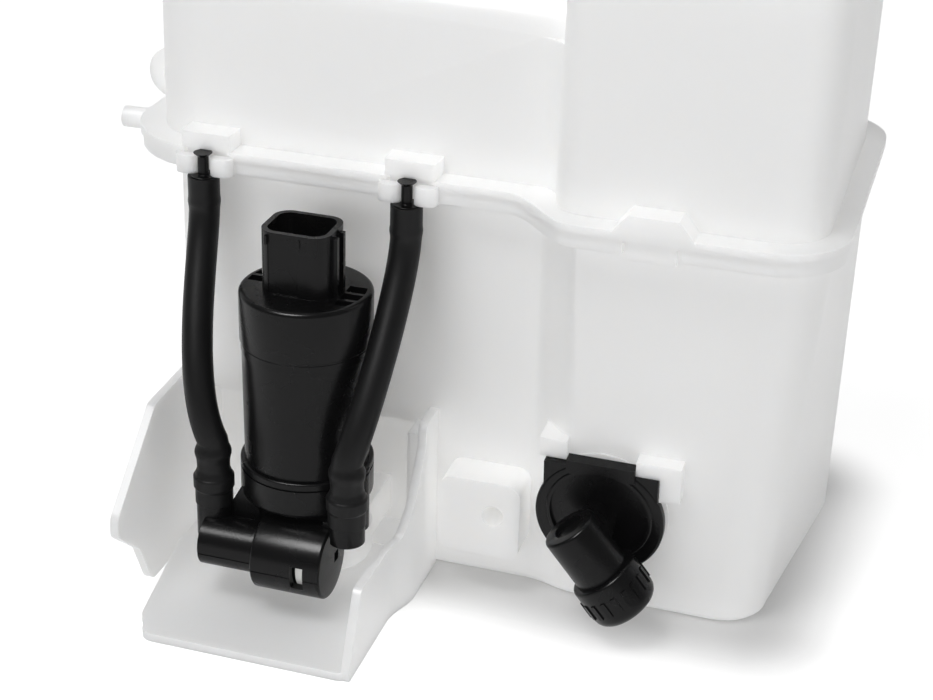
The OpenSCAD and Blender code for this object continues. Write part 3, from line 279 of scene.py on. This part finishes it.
def hose_radius(above, below):
    """Outer radius at a height above the lower end and a length below the upper end."""
    ring = 0.45 * ease(above, ring_low, ring_low + 0.3) - 0.55 * ease(above, ring_top - 0.4, ring_top)
    narrowing = 0.6 * ease(above, ring_top, ring_top + 2.2) + 0.35 * ease(above, barb_at, spigot)
    barb = 0.55 * swell(above, barb_at, 1.9)
    plug = 0.12 * (1 - ease(below, plug_length - 0.5, plug_length + 2)) + 0.16 * swell(below, 7.6, 1.1)
    return foot_r + ring - narrowing + barb + plug


def hose_line(clip_x, outlet, top_handle, low_handle):
    """Centre line from the outlet up to the clip: straight on the spigot, a bend, straight on the plug."""
    foot_steps, bend_steps, plug_steps = 60, 40, 16
    low = Vector(outlet)
    top = Vector((clip_x, clip_y, clip_z))
    rise = low + Vector((0, 0, spigot))
    hang = top - Vector((0, 0, plug_length))
    a, b, c, d = rise, rise + Vector(low_handle), hang - Vector((0, 0, top_handle)), hang
    start = low + Vector((0, 0, foot_gap))
    foot = [start.lerp(rise, i / foot_steps) for i in range(foot_steps)]
    bend = [a * (1 - t) ** 3 + 3 * b * t * (1 - t) ** 2 + 3 * c * t * t * (1 - t) + d * t ** 3
            for t in (i / bend_steps for i in range(bend_steps + 1))]
    return foot + bend + [hang.lerp(top, i / plug_steps) for i in range(1, plug_steps + 1)]


def hose_mesh(name, line, lengths):
    """Tube with a bore, swept along the line."""
    sides = 40
    verts, faces = [], []
    for bore in (False, True):
        for i, p in enumerate(line):
            along = (line[min(i + 1, len(line) - 1)] - line[max(i - 1, 0)]).normalized()
            side = along.cross(Vector((0, 1, 0))).normalized()
            front = side.cross(along)
            r = hose_radius(lengths[i], lengths[-1] - lengths[i])
            if bore:
                r = max(r - hose_wall, spigot_bore_r if lengths[i] < spigot + 2 else hose_bore_r)
            verts += [(p + r * (math.cos(t) * side + math.sin(t) * front)) * MM
                      for t in (2 * math.pi * k / sides for k in range(sides))]
    count = len(line) * sides
    for i in range(len(line) - 1):
        for k in range(sides):
            a, b = i * sides + k, i * sides + (k + 1) % sides
            faces.append((a + sides, b + sides, b, a))
            faces.append((count + a, count + b, count + b + sides, count + a + sides))
    last = count - sides
    for k in range(sides):
        j = (k + 1) % sides
        faces.append((k, j, count + j, count + k))
        faces.append((last + j, last + k, count + last + k, count + last + j))
    mesh = bpy.data.meshes.new(name)
    mesh.from_pydata(verts, [], faces)
    mesh.shade_smooth()
    mesh.materials.append(rubber)
    return mesh


def hose(name, node, line):
    lengths = [foot_gap]
    for p, q in zip(line, line[1:]):
        lengths.append(lengths[-1] + (q - p).length)
    made = bpy.data.objects.new(name, hose_mesh(name, line, lengths))
    bpy.context.scene.collection.objects.link(made)
    round_edges(made, hose_edge, hose_crease)
    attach(made, "tank")
    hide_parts(node)


hose("hose_left_rubber", "hose_left",
     hose_line(clip_x=-80, outlet=(-68, -79, 30.5), top_handle=12.7, low_handle=(-7.3, -3.2, 19.1)))
hose("hose_right_rubber", "hose_right",
     hose_line(clip_x=-19, outlet=(-25.2, -83.5, 34), top_handle=13.3, low_handle=(5.3, 2.1, 16.7)))
for name in ("hose_plug_left", "hose_plug_right"):
    finish_node(name, black, plug_edge)

# Level sensor
# Black plastic plate and dish against the wall, with a connector barrel turned down and its end cap.
# It is pushed into a seal in the front wall and held by the tank's two hooks. A magnet on the float that
# swings inside the tank works its reed switch.
sensor_edge = 0.45 * MM
glass = moulded("reed glass", (0.7, 0.8, 0.75), (0.74, 0.84, 0.79), cloud_size=100,
                roughness=0.1, spread=0.04, grain_size=2000, grain=0.02)
for name in ("sensor_body", "sensor_cap"):
    finish_node(name, black, sensor_edge)
finish_node("sensor_seal", seal_black)
finish_node("sensor_terminals", brass)
finish_node("reed_switch", glass)
finish_node("float_arm", acetal)
finish_node("float_magnet", ferrite)

# Surround
# White to the camera, and a dim light on the pieces beside that of the lamps.
# What the pieces mirror of it is darker on the side where the camera stands, so that black stays black.
sky_light = 0.12
world = bpy.data.worlds.new("studio")
bpy.context.scene.world = world
world.use_nodes = True
sky = world.node_tree


def ramp(tree, value, start, end, low, high):
    """Smooth step from one level to another."""
    return add(tree, "ShaderNodeMapRange", interpolation_type="SMOOTHSTEP", Value=value, From_Min=start,
               From_Max=end, To_Min=low, To_Max=high).outputs["Result"]


sky_ray = add(sky, "ShaderNodeLightPath").outputs
toward = add(sky, "ShaderNodeTexCoord").outputs["Generated"]
toward_back = add(sky, "ShaderNodeSeparateXYZ", Vector=toward).outputs["Y"]
mirrored = ramp(sky, toward_back, start=0.1, end=0.6, low=0.25, high=1.0)
lit = add(sky, "ShaderNodeMapRange", Value=sky_ray["Is Glossy Ray"], To_Min=sky_light, To_Max=mirrored)
sky_seen = worked_out(sky, "ShaderNodeMath", "MAXIMUM",
                      sky_ray["Is Camera Ray"], sky_ray["Is Transmission Ray"])
strength = worked_out(sky, "ShaderNodeMath", "MAXIMUM", lit.outputs["Result"], sky_seen)
sky.nodes["Background"].inputs["Color"].default_value = (1, 1, 1, 1)
sky.links.new(strength, sky.nodes["Background"].inputs["Strength"])

# Floor
# A broad pale sheet under the tank, lifted to white where a camera, glossy or transmission ray meets it.
# The lift falls off towards the tank's foot, which paints a shadow round the foot on top of the lamps' own,
# and grows where the lamps don't reach.
reach = 3.0
# Box round the tank's foot, a little narrower on the left, near which the floor's lift is left off: painted
# shadow.
shade_box_centre = (0.012, 0, 0)
shade_box_half = (0.072, 0.044, 0)
floor_mesh = bpy.data.meshes.new("floor")
corners = [(-reach, -reach, 0), (reach, -reach, 0), (reach, reach, 0), (-reach, reach, 0)]
floor_mesh.from_pydata(corners, [], [(0, 1, 2, 3)])
floor = bpy.data.objects.new("floor", floor_mesh)
bpy.context.scene.collection.objects.link(floor)
pale = bpy.data.materials.new("pale floor")
pale.use_nodes = True
floor_mesh.materials.append(pale)
coat = pale.node_tree
paint = coat.nodes["Principled BSDF"].inputs
paint["Base Color"].default_value = (0.66, 0.66, 0.66, 1)
paint["Roughness"].default_value = 0.8
paint["Emission Color"].default_value = (1, 1, 1, 1)
spot = add(coat, "ShaderNodeTexCoord").outputs["Object"]
centred = worked_out(coat, "ShaderNodeVectorMath", "SUBTRACT", spot, shade_box_centre)
quarter = worked_out(coat, "ShaderNodeVectorMath", "ABSOLUTE", centred)
past = worked_out(coat, "ShaderNodeVectorMath", "SUBTRACT", quarter, shade_box_half)
outside = worked_out(coat, "ShaderNodeVectorMath", "MAXIMUM", past, (0, 0, 0))
away = worked_out(coat, "ShaderNodeVectorMath", "LENGTH", outside, out="Value")
# Painted shadow: within a few centimetres of the box the lift is left off, so the floor there renders
# darker than the lamps alone make it.
foot_shadow_painting_lift = ramp(coat, away, start=0.004, end=0.04, low=0.0, high=0.68)
far_lift = ramp(coat, away, start=0.4, end=1.6, low=0.0, high=0.32)
lift = worked_out(coat, "ShaderNodeMath", "ADD", foot_shadow_painting_lift, far_lift)
floor_ray = add(coat, "ShaderNodeLightPath").outputs
floor_seen = worked_out(coat, "ShaderNodeMath", "MAXIMUM",
                        floor_ray["Is Camera Ray"], floor_ray["Is Glossy Ray"])
floor_shown = worked_out(coat, "ShaderNodeMath", "MAXIMUM", floor_seen, floor_ray["Is Transmission Ray"])
glow = worked_out(coat, "ShaderNodeMath", "MULTIPLY", floor_shown, lift)
coat.links.new(glow, paint["Emission Strength"])


# Lamps
# A soft key lamp from the upper left casts the shadows. A sheen lamp beside it shows only in reflections.
# Broad fill lamps without shadows stand round the object.
def lamp(name, place, power, width=1.0, height=1.0, aim_x=0.0, fill=False, sheen=False):
    """Area lamp that faces the front of the tank."""
    aim = Vector((aim_x, -0.02, 0.08))
    light = bpy.data.lights.new(name, "AREA")
    light.shape = "RECTANGLE"
    light.size, light.size_y = width, height
    light.energy = power
    light.use_shadow = not fill
    holder = bpy.data.objects.new(name, light)
    holder.location = place
    holder.rotation_mode = "QUATERNION"
    holder.rotation_quaternion = (aim - Vector(place)).to_track_quat("-Z", "Y")
    holder.visible_glossy = not fill
    holder.visible_diffuse = not sheen
    bpy.context.scene.collection.objects.link(holder)


lamp("key", (-0.3, -0.6, 1.3), power=4.6, width=0.5, height=0.5)
lamp("sheen", (-0.3, -0.62, 1.1), power=16, width=0.5, height=0.4, aim_x=-0.3, sheen=True)
for side, place, power in (
        ("top", (0.1, -0.3, 1.3), 3.8),
        ("front", (-0.15, -1.1, 0.14), 5.1),
        ("left", (-0.95, -0.75, 0.14), 2.6),
        ("right", (1.2, -0.35, 0.14), 5.2),
        ("back", (-0.8, 0.95, 0.25), 4.5)):
    lamp(side + " fill", place, power, fill=True)
bpy.context.scene.view_settings.view_transform = "Standard"
